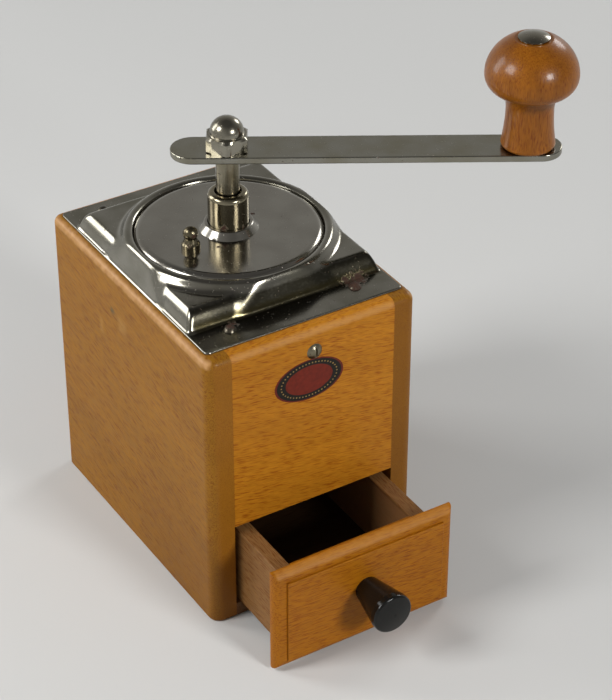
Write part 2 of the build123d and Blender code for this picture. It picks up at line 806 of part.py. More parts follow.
# ================================================================ crank knob and its spindle
# A turned mushroom knob that runs on a riveted spindle with a domed head.
knob_x = knob_distance * crank_direction[0]
knob_y = knob_distance * crank_direction[1]
knob_plane = Plane(origin=(knob_x, knob_y, arm_top), x_dir=(1, 0, 0), z_dir=(0, -1, 0))
knob_axis = Axis((knob_x, knob_y, arm_top), (0, 0, 1))
knob_bore_radius = spindle_radius + knob_bore_clearance
crown_turn = degrees(acos(knob_crown_radius / knob_radius))
crown_rise = (knob_height - knob_widest_height) / sin(radians(crown_turn))

with BuildPart() as crank_knob:
    with BuildSketch(knob_plane):
        with BuildLine():
            foot_flat = Line(
                (knob_bore_radius, knob_gap),
                (knob_foot_radius - knob_foot_round, knob_gap),
            )
            foot_arc = JernArc(
                foot_flat @ 1, tangent=(1, 0), radius=knob_foot_round, arc_size=90
            )
            neck = (knob_neck_radius, knob_neck_height)
            shoulder = (knob_shoulder_radius, knob_shoulder_height)
            TangentArc(neck, foot_arc @ 1, tangent=(0, -1))
            TangentArc(neck, shoulder, tangent=(0, 1))
            TangentArc((knob_radius, knob_widest_height), shoulder, tangent=(0, -1))
            EllipticalCenterArc(
                center=(0, knob_widest_height),
                x_radius=knob_radius,
                y_radius=crown_rise,
                start_angle=0,
                arc_size=crown_turn,
            )
            Polyline(
                (knob_crown_radius, knob_height),
                (knob_bore_radius, knob_height),
                (knob_bore_radius, knob_gap),
            )
        make_face()
    revolve(axis=knob_axis)
crank_knob.part.label = "crank_knob"
export_step(crank_knob.part, "parts/crank_knob.step")

with BuildPart() as knob_spindle:
    head_foot = knob_height + knob_gap
    head_edge = head_foot + spindle_head_edge
    rivet_foot = -arm_thickness - spindle_rivet_height
    with BuildSketch(knob_plane):
        with BuildLine():
            Polyline(
                (0, rivet_foot),
                (spindle_rivet_radius - spindle_rivet_height / 2, rivet_foot),
                (spindle_rivet_radius, -arm_thickness - spindle_rivet_height / 2),
                (spindle_rivet_radius, -arm_thickness),
                (spindle_tail_radius, -arm_thickness),
                (spindle_tail_radius, 0),
                (spindle_radius, 0),
                (spindle_radius, head_foot),
                (spindle_head_radius, head_foot),
                (spindle_head_radius, head_edge),
            )
            round_cap(spindle_head_radius, head_edge, spindle_head_height - spindle_head_edge)
            Line((0, head_foot + spindle_head_height), (0, rivet_foot))
        make_face()
    revolve(axis=knob_axis)
knob_spindle.part.label = "knob_spindle"
export_step(knob_spindle.part, "parts/knob_spindle.step")

# ================================================================ lid
# A pressed disc that drops into the bead and lifts by its knob. Its middle is
# drawn up into a short cone around the bearing collar.
lid_radius = bead_inner_radius - lid_gap
lid_top = box_height + lid_flat_height
lid_rim_bottom = platform_top + lid_seat_gap
lid_bore_radius = collar_radius + lid_bore_gap
hub_top = lid_top + hub_height
hub_land_radius = lid_bore_radius + hub_land

with BuildPart() as lid:
    with BuildSketch(Plane.XZ) as lid_section:
        with BuildLine():
            Polyline(
                (lid_bore_radius, hub_top),
                (hub_land_radius, hub_top),
                (hub_foot_radius, lid_top),
                (lid_radius, lid_top),
                (lid_radius, lid_rim_bottom),
                (lid_radius - sheet, lid_rim_bottom),
                (lid_radius - sheet, lid_top - sheet),
                (hub_foot_radius - sheet / 2, lid_top - sheet),
                (hub_land_radius - sheet / 2, hub_top - sheet),
                (lid_bore_radius, hub_top - sheet),
                close=True,
            )
        make_face()
        rim_corner = lid_section.vertices().sort_by_distance((lid_radius, lid_top))[0]
        fillet(rim_corner, radius=lid_rim_radius)
        inner_corner_place = (lid_radius - sheet, lid_top - sheet)
        inner_corner = lid_section.vertices().sort_by_distance(inner_corner_place)[0]
        fillet(inner_corner, radius=lid_rim_radius - sheet)
        land_corner = lid_section.vertices().sort_by_distance((hub_land_radius, hub_top))[0]
        fillet(land_corner, radius=sheet)
    revolve(axis=Axis.Z)
    with Locations((lid_knob_x, lid_knob_y, lid_top)):
        Hole(radius=lid_rivet_radius + hole_clearance, depth=sheet)
lid.part.label = "lid"
export_step(lid.part, "parts/lid.step")

with BuildPart() as lid_knob:
    lid_knob_plane = Plane(
        origin=(lid_knob_x, lid_knob_y, lid_top), x_dir=(1, 0, 0), z_dir=(0, -1, 0)
    )
    ball_centre = lid_knob_height - lid_knob_ball_radius
    neck_angle = degrees(acos(lid_knob_waist_radius / lid_knob_ball_radius))
    neck_top = ball_centre - lid_knob_ball_radius * sin(radians(neck_angle))
    with BuildSketch(lid_knob_plane):
        with BuildLine():
            Polyline(
                (0, -sheet - lid_rivet_head_height),
                (lid_rivet_head_radius, -sheet - lid_rivet_head_height),
                (lid_rivet_head_radius, -sheet),
                (lid_rivet_radius, -sheet),
                (lid_rivet_radius, 0),
                (lid_knob_foot_radius, 0),
                (lid_knob_foot_radius, lid_knob_foot_height - lid_knob_foot_bevel),
                (lid_knob_foot_radius - lid_knob_foot_bevel, lid_knob_foot_height),
                (lid_knob_waist_radius, lid_knob_waist_height),
                (lid_knob_waist_radius, neck_top),
            )
            CenterArc((0, ball_centre), lid_knob_ball_radius, -neck_angle, 90 + neck_angle)
            Line((0, lid_knob_height), (0, -sheet - lid_rivet_head_height))
        make_face()
    revolve(axis=Axis((lid_knob_x, lid_knob_y, lid_top), (0, 0, 1)))
lid_knob.part.label = "lid_knob"
export_step(lid_knob.part, "parts/lid_knob.step")

# ================================================================ drawer
# Four boards and a bottom let into grooves. The front board is rebated: a lip
# covers the opening, and its block fits between the side boards.
lip_back = front_face - drawer_pull
drawer_width = 2 * (inner_half_width - drawer_side_gap)
drawer_length = box_depth - end_panel_thickness - drawer_back_gap
drawer_back_end = lip_back + drawer_length
drawer_inner_half_width = drawer_width / 2 - drawer_side_thickness
block_back = lip_back + drawer_front_depth
back_board_front = drawer_back_end - drawer_back_thickness
drawer_floor = drawer_bottom_height + drawer_groove_height
floor_half_width = drawer_inner_half_width + drawer_groove_depth - hole_clearance
floor_front = block_back - drawer_groove_depth + hole_clearance
floor_back = back_board_front + drawer_groove_depth - hole_clearance
floor_centre = (floor_front + floor_back) / 2

with BuildPart() as floor_groove:
    with BuildSketch(Plane.XY.offset(drawer_floor - hole_clearance)):
        with Locations((0, floor_centre)):
            Rectangle(
                2 * (floor_half_width + hole_clearance),
                floor_back - floor_front + 2 * hole_clearance,
            )
    extrude(amount=drawer_bottom_thickness + 2 * hole_clearance)

with BuildPart() as drawer_bottom:
    with BuildSketch(Plane.XY.offset(drawer_floor)):
        with Locations((0, floor_centre)):
            Rectangle(2 * floor_half_width, floor_back - floor_front)
    extrude(amount=drawer_bottom_thickness)
drawer_bottom.part.label = "drawer_bottom"
export_step(drawer_bottom.part, "parts/drawer_bottom.step")

side_middle = (drawer_width - drawer_side_thickness) / 2
with BuildPart() as drawer_left_side:
    with BuildSketch(Plane.XY.offset(drawer_bottom_height)):
        with Locations((-side_middle, lip_back + drawer_length / 2)):
            Rectangle(drawer_side_thickness, drawer_length)
    extrude(amount=drawer_side_height)
    left_top_edges = drawer_left_side.edges().filter_by(Axis.Y).group_by(Axis.Z)[-1]
    fillet(left_top_edges, radius=drawer_edge_radius)
    add(floor_groove.part, mode=Mode.SUBTRACT)
drawer_left_side.part.label = "drawer_left_side"
export_step(drawer_left_side.part, "parts/drawer_left_side.step")

with BuildPart() as drawer_right_side:
    with BuildSketch(Plane.XY.offset(drawer_bottom_height)):
        with Locations((side_middle, lip_back + drawer_length / 2)):
            Rectangle(drawer_side_thickness, drawer_length)
    extrude(amount=drawer_side_height)
    right_top_edges = drawer_right_side.edges().filter_by(Axis.Y).group_by(Axis.Z)[-1]
    fillet(right_top_edges, radius=drawer_edge_radius)
    add(floor_groove.part, mode=Mode.SUBTRACT)
drawer_right_side.part.label = "drawer_right_side"
export_step(drawer_right_side.part, "parts/drawer_right_side.step")

with BuildPart() as drawer_back:
    with BuildSketch(Plane.XY.offset(drawer_bottom_height)):
        with Locations((0, drawer_back_end - drawer_back_thickness / 2)):
            Rectangle(2 * drawer_inner_half_width, drawer_back_thickness)
    extrude(amount=drawer_side_height)
    add(floor_groove.part, mode=Mode.SUBTRACT)
drawer_back.part.label = "drawer_back"
export_step(drawer_back.part, "parts/drawer_back.step")

lip_front = lip_back - lip_thickness
field_front = lip_front - field_thickness
lip_width = drawer_width + 2 * lip_side_overlap
lip_height = opening_top + lip_top_overlap - lip_bottom
field_width = lip_width - 2 * field_side_margin
field_height = lip_height - field_bottom_margin - field_top_margin
field_bottom = lip_bottom + field_bottom_margin
pull_height = lip_bottom + lip_height / 2 + pull_rise
pull_hole_radius = pull_screw_radius + hole_clearance

with BuildPart() as drawer_front:
    with BuildSketch(Plane(origin=(0, lip_back, 0), x_dir=(1, 0, 0), z_dir=(0, -1, 0))):
        with Locations((0, lip_bottom + lip_height / 2)):
            Rectangle(lip_width, lip_height)
    extrude(amount=lip_thickness)
    fillet(drawer_front.faces().sort_by(Axis.Y)[0].edges(), radius=min(lip_round, 0.9 * lip_thickness))
    with BuildSketch(Plane(origin=(0, lip_front, 0), x_dir=(1, 0, 0), z_dir=(0, -1, 0))):
        with Locations((0, field_bottom + field_height / 2)):
            Rectangle(field_width, field_height)
    extrude(amount=field_thickness)
    fillet(drawer_front.faces().sort_by(Axis.Y)[0].edges(), radius=field_edge_radius)
    with BuildSketch(Plane.XY.offset(drawer_bottom_height)):
        with Locations((0, lip_back + drawer_front_depth / 2)):
            Rectangle(2 * drawer_inner_half_width, drawer_front_depth)
    extrude(amount=drawer_side_height)
    add(floor_groove.part, mode=Mode.SUBTRACT)
    with Locations(Plane(origin=(0, field_front, pull_height), z_dir=(0, -1, 0))):
        Hole(radius=pull_hole_radius, depth=block_back - field_front)
drawer_front.part.label = "drawer_front"
export_step(drawer_front.part, "parts/drawer_front.step")

# The pull is turned on an axis that points out of the drawer front, so its
# profile is drawn as radius against distance from the front.
pull_plane = Plane(origin=(0, field_front, pull_height), x_dir=(0, 0, 1), z_dir=(1, 0, 0))
pull_axis = Axis((0, field_front, pull_height), (0, -1, 0))

with BuildPart() as drawer_pull_knob:
    rim_end = pull_length - pull_face_dome
    with BuildSketch(pull_plane) as pull_section:
        with BuildLine():
            Polyline(
                (0, pull_screw_grip),
                (pull_hole_radius, pull_screw_grip),
                (pull_hole_radius, 0),
                (pull_neck_radius, 0),
                (pull_rim_radius, pull_length - pull_rim_height),
                (pull_rim_radius, rim_end),
            )
            round_cap(pull_rim_radius, rim_end, pull_face_dome)
            Line((0, pull_length), (0, pull_screw_grip))
        make_face()
        rim_edge = pull_section.vertices().sort_by_distance((pull_rim_radius, rim_end))[0]
        fillet(rim_edge, radius=pull_rim_round)
    revolve(axis=pull_axis)
drawer_pull_knob.part.label = "drawer_knob"
export_step(drawer_pull_knob.part, "parts/drawer_knob.step")

with BuildPart() as drawer_knob_screw:
    screw_tip = pull_screw_grip - hole_clearance
    screw_seat = field_front - block_back
    head_back = screw_seat - pull_screw_head_height
    with BuildSketch(pull_plane):
        with BuildLine():
            Polyline(
                (0, screw_tip),
                (pull_screw_radius, screw_tip),
                (pull_screw_radius, screw_seat),
                (pull_screw_head_radius, screw_seat),
                (pull_screw_head_radius, head_back),
                (0, head_back),
                close=True,
            )
        make_face()
    revolve(axis=pull_axis)
    head_plane = Plane(origin=(0, block_back + pull_screw_head_height, pull_height), z_dir=(0, 1, 0))
    with BuildSketch(head_plane):
        Rectangle(2 * pull_screw_head_radius, slot_width)
    extrude(amount=-slot_depth, mode=Mode.SUBTRACT)
drawer_knob_screw.part.label = "drawer_knob_screw"
export_step(drawer_knob_screw.part, "parts/drawer_knob_screw.step")
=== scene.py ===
"""Poppy seed mill in varnished beech with a nickel-plated top, a round lid and a crank.

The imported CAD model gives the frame. Each section below takes one piece of the mill,
in the order in which it is put together, and gives it its look.
"""
import math

import bpy
from mathutils import Matrix, Vector, noise


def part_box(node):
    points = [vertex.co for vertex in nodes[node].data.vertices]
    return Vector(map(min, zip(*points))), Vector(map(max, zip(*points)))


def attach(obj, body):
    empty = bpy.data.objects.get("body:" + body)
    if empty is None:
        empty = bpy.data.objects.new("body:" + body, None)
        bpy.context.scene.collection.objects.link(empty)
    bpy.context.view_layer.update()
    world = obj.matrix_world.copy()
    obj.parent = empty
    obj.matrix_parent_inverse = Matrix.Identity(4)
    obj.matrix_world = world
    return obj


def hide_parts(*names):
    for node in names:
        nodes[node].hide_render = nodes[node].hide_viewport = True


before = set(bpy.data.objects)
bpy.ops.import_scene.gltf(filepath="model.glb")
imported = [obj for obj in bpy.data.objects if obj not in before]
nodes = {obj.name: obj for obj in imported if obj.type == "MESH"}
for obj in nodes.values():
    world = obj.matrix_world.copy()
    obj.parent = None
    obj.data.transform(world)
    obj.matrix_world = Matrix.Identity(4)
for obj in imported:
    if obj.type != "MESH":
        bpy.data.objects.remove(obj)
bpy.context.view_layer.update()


# ------------------------------------------------------------ side boards
# Two beech boards, planed, glued to the end panels, rounded and given clear varnish.
# Their grain runs from front to back, so their narrow front edges show end grain.
def tone(code):
    """An sRGB hex colour such as #9B6A34, as linear RGBA."""
    parts = [int(code[i : i + 2], 16) / 255 for i in (1, 3, 5)]
    return [c / 12.92 if c <= 0.04045 else ((c + 0.055) / 1.055) ** 2.4 for c in parts] + [1.0]


def put(tree, kind, inputs=None, **settings):
    """Adds a node with its settings. An input is a value, or a socket to link from."""
    made = tree.nodes.new(kind)
    for name, value in settings.items():
        setattr(made, name, value)
    for key, value in (inputs or {}).items():
        if isinstance(value, bpy.types.NodeSocket):
            tree.links.new(value, made.inputs[key])
        else:
            made.inputs[key].default_value = value
    return made


def calc(tree, operation, *values):
    """A number worked out from others."""
    return put(tree, "ShaderNodeMath", dict(enumerate(values)), operation=operation).outputs[0]


def vector_calc(tree, operation, *values, result=0):
    """A vector worked out from others. With "Value" as result, it is a number."""
    made = put(tree, "ShaderNodeVectorMath", dict(enumerate(values)), operation=operation)
    return made.outputs[result]


def ranged(tree, value, low, high, to_low=0.0, to_high=1.0, **settings):
    """A value taken from one range to another, and held at the other's ends."""
    inputs = {"Value": value, 1: low, 2: high, 3: to_low, 4: to_high}
    return put(tree, "ShaderNodeMapRange", inputs, **settings).outputs[0]


def mixed(tree, share, first, second, blend_type="MIX"):
    """A mix of two colours, with share as the second one's part."""
    inputs = {0: share, 6: first, 7: second}
    return put(tree, "ShaderNodeMix", inputs, data_type="RGBA", blend_type=blend_type).outputs[2]


def clouds(tree, place, scale, detail):
    """Noise between 0 and 1, with scale as the number of its lumps to the metre."""
    inputs = {"Vector": place, "Scale": scale, "Detail": detail}
    return put(tree, "ShaderNodeTexNoise", inputs).outputs["Fac"]


def ramped(tree, value, stops, interpolation="LINEAR"):
    """A value turned into a colour, by stops that each have a position and a hex colour."""
    made = put(tree, "ShaderNodeValToRGB", {"Fac": value})
    ramp = made.color_ramp
    ramp.interpolation = interpolation
    for element, (position, code) in zip(ramp.elements, (stops[0], stops[-1])):
        element.position = position
        element.color = tone(code)
    for position, code in stops[1:-1]:
        ramp.elements.new(position).color = tone(code)
    return made.outputs[0]


def bumped(tree, height, strength, depth, under=None):
    """Relief of a depth in metres, on top of any relief that is under it."""
    inputs = {"Height": height, "Strength": strength, "Distance": depth}
    if under is not None:
        inputs["Normal"] = under
    return put(tree, "ShaderNodeBump", inputs).outputs[0]


def blank_material(name):
    """An empty material, its tree, and the place on the piece in metres."""
    material = bpy.data.materials.new(name)
    material.use_nodes = True
    tree = material.node_tree
    tree.nodes.clear()
    return material, tree, put(tree, "ShaderNodeTexCoord").outputs["Object"]


def cover(tree, look):
    """Ends a material's tree with a surface that has this look."""
    surface = put(tree, "ShaderNodeBsdfPrincipled", look)
    put(tree, "ShaderNodeOutputMaterial", {"Surface": surface.outputs[0]})


def dress(material, *names):
    """Gives the CAD pieces with these names a material."""
    for name in names:
        mesh = nodes[name].data
        mesh.materials.clear()
        mesh.materials.append(material)


def marked(tree, place, ragged, colour, marks):
    """A colour with worn or soiled places on it, and places painted lighter or darker as painted
    highlights and painted shade, which all fade out raggedly.

    Each mark has two corners of a box, how softly it fades out around the box, the
    colour there and how much of it.
    """
    for low, high, fade, code, amount in marks:
        middle = [(a + b) / 2 for a, b in zip(low, high)]
        half = [(b - a) / 2 for a, b in zip(low, high)]
        away = vector_calc(tree, "SUBTRACT", place, middle)
        away = vector_calc(tree, "ABSOLUTE", away)
        away = vector_calc(tree, "SUBTRACT", away, half)
        away = vector_calc(tree, "MAXIMUM", away, (0, 0, 0))
        away = vector_calc(tree, "LENGTH", away, result="Value")
        away = calc(tree, "MULTIPLY_ADD", ragged, fade, away)
        mask = ranged(tree, away, 1.5 * fade, 0.5 * fade, 0.0, amount)
        colour = mixed(tree, mask, colour, tone(code))
    return colour


# The figure of beech, as sizes in metres along the grain and across it. Real flecks are
# finer, and these are drawn large enough to show.
band_size = (0.09, 0.012)
fibre_size = (0.005, 0.0007)
fleck_size = (0.0048, 0.00044)
patch_size = (0.02, 0.012)
fleck_tone = "#CBAA7C"
wood_relief = 0.00009


def beech(name, grain, light, dark, gloss=0.08, turn=0.0, marks=()):
    """Beech: faint bands of growth, fine fibre, and the short dark flecks of its rays.

    grain is the axis that the fibres follow and turn is how far they lean in the board.
    The flecks lie thicker in some patches than in others.
    """
    material, tree, place = blank_material(name)
    turns = {"X": (0, turn, 0), "Y": (turn, 0, -math.pi / 2), "Z": (0, math.pi / 2, turn)}
    along = put(tree, "ShaderNodeMapping", {"Vector": place, "Rotation": turns[grain]}).outputs[0]

    def stretched(size, detail, bend=0.0):
        length, width = size
        shrink = (1 / length, 1 / width, 1 / width)
        scaled = put(tree, "ShaderNodeMapping", {"Vector": along, "Scale": shrink}).outputs[0]
        inputs = {"Vector": scaled, "Scale": 1.0, "Detail": detail, "Distortion": bend}
        return put(tree, "ShaderNodeTexNoise", inputs).outputs["Fac"]

    bands = ranged(tree, stretched(band_size, 3.0, 0.4), 0.25, 0.75)
    fibre = ranged(tree, stretched(fibre_size, 3.0), 0.3, 0.7, 0.86, 1.1)
    rays = ranged(tree, stretched(fleck_size, 1.5), 0.50, 0.68)
    patches = ranged(tree, stretched(patch_size, 2.0), 0.35, 0.6, 0.7, 1.0)
    flecks = calc(tree, "MULTIPLY", rays, patches)
    body = mixed(tree, bands, tone(light), tone(dark))
    fibred = mixed(tree, 1.0, body, fibre, "MULTIPLY")
    shaded = mixed(tree, 1.0, body, tone(fleck_tone), "MULTIPLY")
    colour = mixed(tree, flecks, fibred, shaded)
    if marks:
        colour = marked(tree, place, clouds(tree, place, 350.0, 3.0), colour, marks)
    relief = calc(tree, "SUBTRACT", fibre, flecks)
    look = {
        "Base Color": colour,
        "Roughness": ranged(tree, fibre, 0.88, 1.1, 0.55 - gloss, 0.65 - gloss),
        "Normal": bumped(tree, relief, 0.3, wood_relief),
        "IOR": 1.5,
        "Specular IOR Level": 0.14,
        "Coat Weight": gloss,
        "Coat Roughness": 0.16,
    }
    cover(tree, look)
    return material


# Varnish on face grain: satin, and it deepens the wood to honey. Along the top edges it is
# paler, partly rubbed varnish and partly a painted highlight. It is darker on the end grain,
# the lower front of the left side is darkened as painted shade, and there is an old grey
# bruise on the left.
side_wear_and_painted_light = [
    # Painted shade: the lower front of the left side, darkened over a wide fade.
    ((-0.0510, -0.0680, 0.0), (-0.0490, -0.0350, 0.0150), 0.0450, "#6C4312", 0.5),
    ((-0.06, -0.080, 0.0), (-0.03, -0.0684, 0.1320), 0.0006, "#905A16", 0.5),
    ((0.03, -0.080, 0.0), (0.06, -0.0680, 0.1340), 0.0006, "#78490E", 0.6),
    # Partly rubbed varnish and partly a painted highlight along the rounded top edges.
    ((-0.0493, -0.0660, 0.1316), (-0.0478, 0.0660, 0.1330), 0.0016, "#C09463", 0.75),
    ((0.0478, -0.0660, 0.1316), (0.0493, 0.0660, 0.1330), 0.0016, "#C09463", 0.75),
    ((-0.0505, 0.0127, 0.1143), (-0.0495, 0.0140, 0.1150), 0.0018, "#54492F", 0.85),
    ((-0.0505, 0.0030, 0.1090), (-0.0495, 0.0070, 0.1130), 0.0030, "#A88048", 0.3),
    ((-0.0505, 0.0240, 0.0985), (-0.0495, 0.0250, 0.1035), 0.0020, "#A88048", 0.3),
]
side_beech = beech(
    "varnished beech, side boards",
    "Y",
    "#8F6014",
    "#82560E",
    turn=math.radians(-12),
    marks=side_wear_and_painted_light,
)
dress(side_beech, "left_side_board", "right_side_board")

# ------------------------------------------------------------ end panels and base board
# Thicker beech panels with their grain across the box, set between the side boards.
# The base board is let in between the sides and left without varnish inside.
panel_wear_and_painted_highlight = [
    ((-0.0395, -0.080, 0.0), (-0.0389, -0.0680, 0.1340), 0.0003, "#6E4312", 0.6),
    ((0.0389, -0.080, 0.0), (0.0395, -0.0680, 0.1340), 0.0003, "#6E4312", 0.6),
    # Partly rubbed varnish and partly a painted highlight along the front panel's rounded top
    # edge.
    ((-0.038, -0.0690, 0.1322), (0.038, -0.0672, 0.1334), 0.0014, "#BE8C50", 0.5),
]
panel_beech = beech(
    "varnished beech, front and back panels",
    "X",
    "#B57518",
    "#A66912",
    turn=math.radians(-10),
    marks=panel_wear_and_painted_highlight,
)
dress(panel_beech, "front_panel", "back_panel")
dress(beech("bare beech, base board", "Y", "#7A5A38", "#664628", 0.02), "base_board")


# ------------------------------------------------------------ pressed top plate
# One sheet of mild steel, drawn in a press, polished and nickel-plated. Nickel is a warm
# grey mirror. The plating is worn through at some corners and shows brown rust there.
def nickel(name, bright, tarnish, gloss, spots=(), wave=0.3, soil_and_shade=()):
    """Polished nickel plating: a warm grey metal with faint tarnish and pinpricks of rust.

    spots are places of heavier rust, each with its centre and size. wave is how strong
    the metal's slow waves are, about 9 mm long. The soil marks, given as marks are for the
    wood, are where a brown film has dried on and where the metal is darkened as painted shade.
    """
    material, tree, place = blank_material(name)
    film = clouds(tree, place, 70.0, 4.0)
    grit = clouds(tree, place, 900.0, 2.0)
    ragged = clouds(tree, place, 800.0, 5.0)
    waves = clouds(tree, place, 110.0, 1.0)
    rust = ranged(tree, grit, 0.70, 0.75, 0.0, 0.8)
    for centre, size in spots:
        away = vector_calc(tree, "DISTANCE", place, centre, result="Value")
        uneven = calc(tree, "MULTIPLY_ADD", ragged, 2.6 * size, away)
        rust = calc(tree, "MAXIMUM", rust, ranged(tree, uneven, 2.2 * size, 1.8 * size))
    tarnished = mixed(tree, ranged(tree, film, 0.35, 0.7), tone(bright), tone(tarnish))
    tarnished = marked(tree, place, ragged, tarnished, soil_and_shade)
    rusted = mixed(tree, ragged, tone("#170D07"), tone("#4C2A13"))
    smooth = ranged(tree, film, 0.3, 0.75, gloss, gloss + 0.1)
    slow = bumped(tree, waves, wave, 0.0001)
    look = {
        "Base Color": mixed(tree, rust, tarnished, rusted),
        "Metallic": calc(tree, "SUBTRACT", 1.0, rust),
        "Roughness": put(tree, "ShaderNodeMix", {0: rust, 2: smooth, 3: 0.85}).outputs[0],
        "Normal": bumped(tree, rust, 0.5, 0.0002, slow),
    }
    cover(tree, look)
    return material


# The sheet's sizes, in millimetres. It is drawn up into a square platform with sloping
# walls, and then into a round bead that bulges over the platform's long sides.
foot_level, sheet_top, platform_level, crown_level = 134.5, 135.3, 143.5, 147.5
half_plate, plate_front, plate_back, plate_corner = 47.0, -62.2, 64.9, 2.0
half_platform, platform_front, platform_back = 46.0, -46.6, 51.7
side_slope, end_slope, bead_slope = 3.0, 2.3, 1.45
bead_inside, crown_radius, crown_round, crown_turn = 40.7, 42.4, 2.6, 2.1
half_bulge, bulge_front, bulge_side_slope, bulge_front_slope = 46.6, -47.0, 3.4, 3.2
# How softly the creases are filled: between two walls, along the platform's edge, where
# the bead meets the bulge's walls, at the bead's foot and at the foot of all walls.
corner_fill, edge_fill, bulge_fill, bead_fill, foot_fill = 5.0, 6.0, 3.0, 2.4, 1.6
# The sheet's slow waves, in millimetres, which fade in from the bead outwards.
wave_length, wave_depth, wave_fade, noise_slice = 16, 0.1, 3, 7.0


def blended(a, b, soft):
    """The higher of two heights, with the crease between them filled over soft."""
    return max(a, b) + max(soft - abs(a - b), 0.0) ** 2 / (4 * soft)


def pressed_height(x, y):
    """The upper face: the flange, the platform's walls and top, and the bead."""
    side = sheet_top + side_slope * (half_platform - abs(x))
    end = sheet_top + end_slope * min(y - platform_front, platform_back - y)
    platform = -blended(blended(-side, -end, corner_fill), -platform_level, edge_fill)
    out = math.hypot(x, y) - crown_radius
    rounded = min(out, crown_turn)
    bead = crown_level - crown_round + math.sqrt(crown_round**2 - rounded**2)
    bead -= bead_slope * max(out - crown_turn, 0)
    bulge_side = bulge_side_slope * (half_bulge - abs(x))
    bulge_end = bulge_front_slope * (y - bulge_front)
    bead = -blended(-bead, -(sheet_top + min(bulge_side, bulge_end)), bulge_fill)
    raised = blended(blended(platform, bead, bead_fill), sheet_top, foot_fill)
    wave = noise.noise(Vector((x, y, noise_slice)) / wave_length) * wave_depth
    return raised + wave * (1 - math.exp(-max(out, 0) / wave_fade))


def plate_edge(c, s):
    """How far the plate's outline is from the shaft in the direction (c, s)."""
    end = plate_back if s > 0 else plate_front
    reach = min(half_plate / max(abs(c), 1e-9), end / s if abs(s) > 1e-9 else 1e9)
    corner = (math.copysign(half_plate - plate_corner, c), end - math.copysign(plate_corner, s))
    if abs(reach * c) > abs(corner[0]) and abs(reach * s) > abs(corner[1]):
        along = c * corner[0] + s * corner[1]
        reach = along + math.sqrt(along**2 - corner[0] ** 2 - corner[1] ** 2 + plate_corner**2)
    return reach


def add_object(name, mesh):
    """Adds a mesh to the scene as an object with this name."""
    made = bpy.data.objects.new(name, mesh)
    bpy.context.scene.collection.objects.link(made)
    return made


# The sheet is made of rows of points that go round the shaft: round the ledge for the
# lid, over the bead, out to the plate's edge, over it and back on the under side. Each
# point has a radius and a level. A level of None is on the pressed face, and "under" is
# on the sheet's under side.
turns_round, rows_out, rows_under = 800, 66, 14
ledge_profile = ((41.0, 142.7), (36.4, 142.7), (36.4, 143.5), (40.5, 143.5), (40.7, 143.7))
bead_steps = (0, 0.02, 0.1, 0.3, 0.6, 1.0, 1.35, 1.7, 2.0, 2.3)
flank_start, flank_step, flank_rows, flank_end = 43.0, 0.3, 10, 46.0
# How far in from the plate's edge each row is, and how far down from the sheet's top.
edge_profile = ((0.3, 0.05), (0.12, 0.2), (0.0, 0.5), (0.0, 0.8))
edge_start, under_inset, under_end = 0.55, 0.8, 41.0
under_drop, foot_sink, under_crown = 0.9, 0.02, 146.0

angles = [2 * math.pi * i / turns_round for i in range(turns_round)]
edges = [plate_edge(math.cos(a), math.sin(a)) for a in angles]
rows = [[point] * turns_round for point in ledge_profile]
near = [bead_inside + step for step in bead_steps]
near += [flank_start + flank_step * k for k in range(1, flank_rows + 1)]
rows += [[(radius, None)] * turns_round for radius in near]
for k in range(1, rows_out + 1):
    spread = [flank_end + (edge - edge_start - flank_end) * k / rows_out for edge in edges]
    rows.append([(radius, None) for radius in spread])
for inset, drop in edge_profile:
    rows.append([(edge - inset, sheet_top - drop) for edge in edges])
for k in range(1, rows_under + 1):
    spread = [
        edge - under_inset + (under_end - edge + under_inset) * k / rows_under for edge in edges
    ]
    rows.append([(radius, "under") for radius in spread])
verts = []
for row in rows:
    for a, (radius, level) in zip(angles, row):
        x, y = radius * math.cos(a), radius * math.sin(a)
        if level is None:
            level = pressed_height(x, y)
        elif level == "under":
            level = max(pressed_height(x, y) - under_drop, foot_level - foot_sink)
            level = min(level, under_crown)
        verts.append((x / 1000, y / 1000, level / 1000))
faces = []
for k in range(len(rows)):
    low, high = k * turns_round, (k + 1) % len(rows) * turns_round
    for i in range(turns_round):
        j = (i + 1) % turns_round
        faces.append((low + i, high + i, high + j, low + j))
mesh = bpy.data.meshes.new("pressed_plate")
mesh.from_pydata(verts, [], faces)
mesh.shade_smooth()
mesh.set_sharp_from_angle(angle=math.radians(50))
pressed_plate = add_object("pressed_plate", mesh)
plate_rust = [
    ((0.0228, -0.0362, 0.1440), 0.0020),
    ((0.0386, -0.0237, 0.1440), 0.0012),
    ((0.0345, -0.0478, 0.1362), 0.0042),
    ((0.0290, -0.0475, 0.1362), 0.0030),
    ((-0.0270, -0.0490, 0.1360), 0.0026),
]
plate_tarnish_and_painted_shade = [
    # The platform's front wall: partly olive tarnish and partly painted shade, which holds back
    # the front lamp's reflection.
    ((-0.0420, -0.0470, 0.1370), (0.0440, -0.0415, 0.1425), 0.0016, "#302D22", 0.88),
    ((-0.0420, -0.0475, 0.1350), (0.0440, -0.0455, 0.1372), 0.0020, "#3E3823", 0.85),
    ((-0.0400, 0.0500, 0.1350), (0.0400, 0.0530, 0.1372), 0.0030, "#5A4F2E", 0.5),
]
plate_nickel = nickel(
    "nickel-plated steel, pressed plate", "#86837A", "#6F6C60", 0.12, plate_rust, 0.25, plate_tarnish_and_painted_shade
)
mesh.materials.append(plate_nickel)
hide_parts("top_plate")
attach(pressed_plate, "body")
dress(plate_nickel, "top_plate")
dress(nickel("nickel-plated steel, hopper bowl", "#6D6960", "#5C574C", 0.3), "hopper_bowl")

